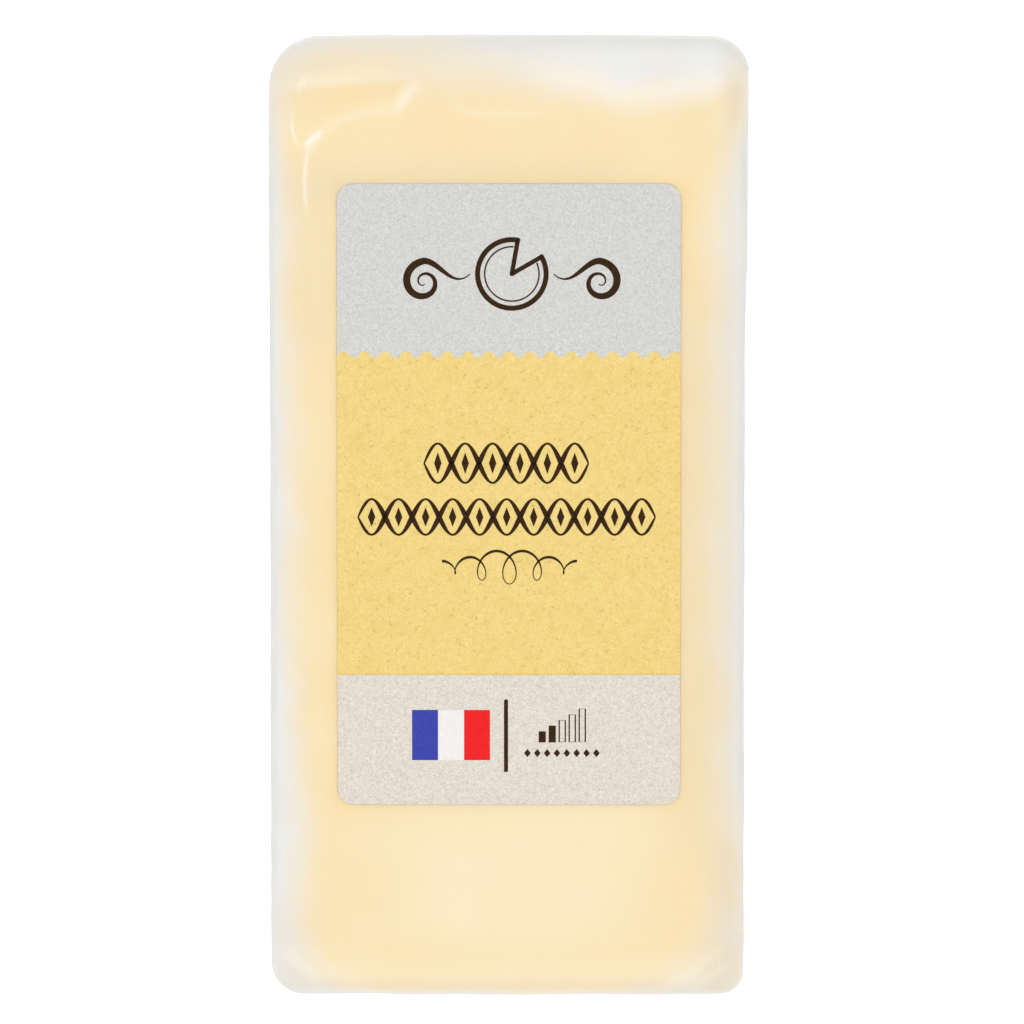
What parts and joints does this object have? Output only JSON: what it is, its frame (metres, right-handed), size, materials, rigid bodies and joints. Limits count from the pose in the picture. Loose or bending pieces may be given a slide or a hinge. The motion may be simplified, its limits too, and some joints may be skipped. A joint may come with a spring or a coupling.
{
  "type": "triple cream brie",
  "caption": "Rectangular slab of triple cream brie in tight clear film, with a silver and gold paper label on its front.",
  "frame": {"origin": "centre of the flat back that the slab lies on", "axes": "+Z out of the labelled front, +Y towards the top of the label, +X to the right as the label is read"},
  "size_m": [0.0652, 0.1308, 0.0249],
  "materials": {
    "cheese": "soft cream-yellow cheese paste with a white bloomy rind round its edges, seen through the film",
    "label_paper": "fine-grained label paper printed in silver grey, pale gold and warm silver",
    "film": "thin clear glossy packing film, tight, with a few soft creases"
  },
  "bodies": {
    "root": {"wrapped_brie": "cheese", "label": "label_paper"}
  },
  "joints": []
}
